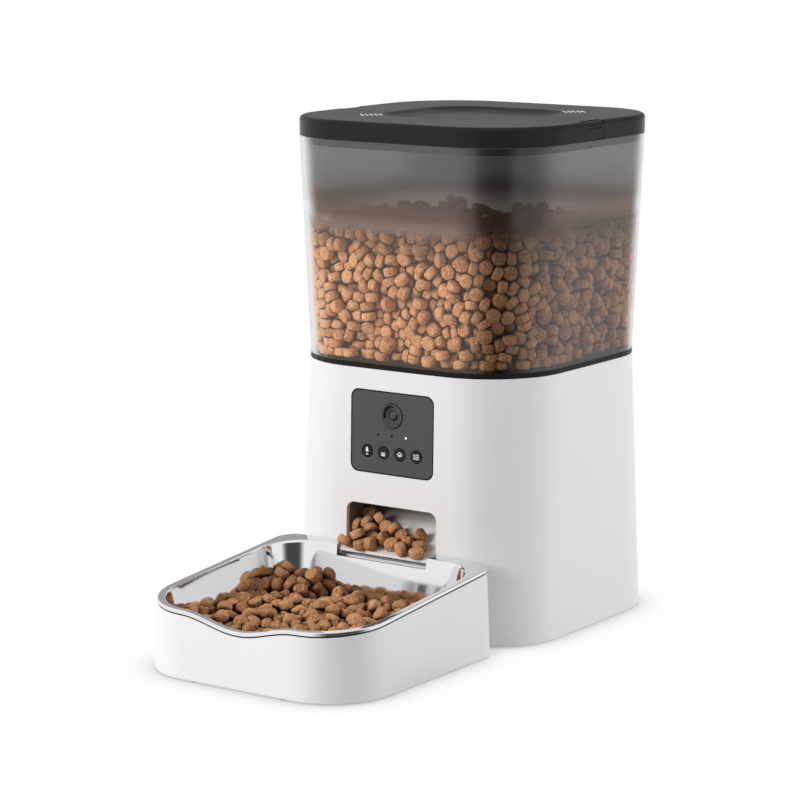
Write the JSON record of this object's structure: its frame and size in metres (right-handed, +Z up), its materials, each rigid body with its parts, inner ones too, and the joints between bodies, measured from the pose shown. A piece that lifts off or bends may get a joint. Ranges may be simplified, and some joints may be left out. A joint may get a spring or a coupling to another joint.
{
  "type": "pet feeder with camera",
  "caption": "Automatic pet feeder: clear food tank with latched lid on a white motor base with camera panel, chute, and a front tray holding a steel bowl.",
  "frame": {"origin": "middle of the footprint's box on the floor", "axes": "+Z up, front with bowl and camera towards -Y, +X to the right as seen from the front"},
  "size_m": [0.1836, 0.336, 0.3135],
  "materials": {
    "white_plastic": "satin white moulding",
    "black_gloss": "polished black",
    "black_plastic": "matt black",
    "grey_panel": "matt dark grey",
    "clear_plastic": "clear, lightly smoked",
    "polished_steel": "mirror polished",
    "steel": "plain",
    "rubber": "matt",
    "brass": "turned",
    "gear_plastic": "natural",
    "bracket_metal": "pressed",
    "cell_wrap": "printed wrap, plain",
    "circuit_board": "solder mask",
    "lens": "coated",
    "light": "diffuse",
    "paper": "porous"
  },
  "bodies": {
    "base": {"base_shell": "white_plastic", "base_plate": "white_plastic", "chute": "white_plastic", "rotor_cup": "white_plastic", "hopper_deck": "black_plastic", "button_switches": "black_plastic", "camera_module": "black_plastic", "lens_barrel": "black_plastic", "chute_sensors": "black_plastic", "speaker": "black_plastic", "power_jack": "black_plastic", "front_panel": "grey_panel", "plate_screws": "steel", "cup_screws": "steel", "bracket_screws": "steel", "motor": "steel", "battery_contacts": "steel", "rubber_feet": "rubber", "tank_gasket": "rubber", "shaft_bushes": "brass", "motor_bracket": "bracket_metal", "battery_cells": "cell_wrap", "panel_board": "circuit_board", "main_board": "circuit_board", "lens_glass": "lens", "status_led": "light"},
    "tank": {"tank": "clear_plastic"},
    "lid": {"lid_shell": "black_gloss", "lid_seal": "rubber", "latch_pins": "steel"},
    "latch_right": {"latch_right": "black_gloss"},
    "latch_left": {"latch_left": "black_gloss"},
    "desiccant": {"desiccant_cap": "black_plastic", "desiccant_pack": "paper"},
    "rotor": {"rotor": "white_plastic", "rotor_shaft": "steel", "drive_gear": "gear_plastic", "agitator": "white_plastic"},
    "pinion": {"motor_pinion": "brass"},
    "button_talk": {"button_talk": "black_plastic"},
    "button_lock": {"button_lock": "black_plastic"},
    "button_feed": {"button_feed": "black_plastic"},
    "button_set": {"button_set": "black_plastic"},
    "battery_door": {"battery_door": "white_plastic"},
    "tray": {"tray": "white_plastic", "tray_pads": "rubber"},
    "bowl": {"bowl": "polished_steel"}
  },
  "joints": [
    {"name": "tank_lift", "type": "slide", "parent": "base", "child": "tank", "axis": [0, 0, 1], "range_m": [0, 0.1]},
    {"name": "lid_lift", "type": "slide", "parent": "tank", "child": "lid", "axis": [0, 0, 1], "range_m": [0, 0.06]},
    {"name": "latch_right_press", "type": "hinge", "parent": "lid", "child": "latch_right", "pos_m": [0.0901, 0.07015, 0.30755], "axis": [0, -1, 0], "range_deg": [0, 8], "stiffness_Nm_per_rad": 0.05},
    {"name": "latch_left_press", "type": "hinge", "parent": "lid", "child": "latch_left", "pos_m": [-0.0901, 0.07015, 0.30755], "axis": [0, 1, 0], "range_deg": [0, 8], "stiffness_Nm_per_rad": 0.05},
    {"name": "desiccant_turn", "type": "hinge", "parent": "lid", "child": "desiccant", "pos_m": [0, 0.07615, 0.2994], "axis": [0, 0, 1], "range_deg": [0, 30]},
    {"name": "rotor_turn", "type": "hinge", "parent": "base", "child": "rotor", "pos_m": [0, 0.07615, 0.11], "axis": [0, 0, 1], "continuous": true},
    {"name": "pinion_turn", "type": "hinge", "parent": "base", "child": "pinion", "pos_m": [0, 0.10365, 0.096], "axis": [0, 0, 1], "continuous": true},
    {"name": "press_talk", "type": "slide", "parent": "base", "child": "button_talk", "axis": [0, 1, 0], "range_m": [0, 0.0006], "stiffness_N_per_m": 400},
    {"name": "press_lock", "type": "slide", "parent": "base", "child": "button_lock", "axis": [0, 1, 0], "range_m": [0, 0.0006], "stiffness_N_per_m": 400},
    {"name": "press_feed", "type": "slide", "parent": "base", "child": "button_feed", "axis": [0, 1, 0], "range_m": [0, 0.0006], "stiffness_N_per_m": 400},
    {"name": "press_set", "type": "slide", "parent": "base", "child": "button_set", "axis": [0, 1, 0], "range_m": [0, 0.0006], "stiffness_N_per_m": 400},
    {"name": "battery_door_swing", "type": "hinge", "parent": "base", "child": "battery_door", "pos_m": [0, 0.09115, 0.002], "axis": [-1, 0, 0], "range_deg": [0, 80]},
    {"name": "tray_pull", "type": "slide", "parent": "base", "child": "tray", "axis": [0, -1, 0], "range_m": [0, 0.06]},
    {"name": "bowl_lift", "type": "slide", "parent": "tray", "child": "bowl", "axis": [0, 0, 1], "range_m": [0, 0.06]}
  ],
  "couplings": [
    {"joint": "pinion_turn", "follows": "rotor_turn", "ratio": -2.6667}
  ]
}
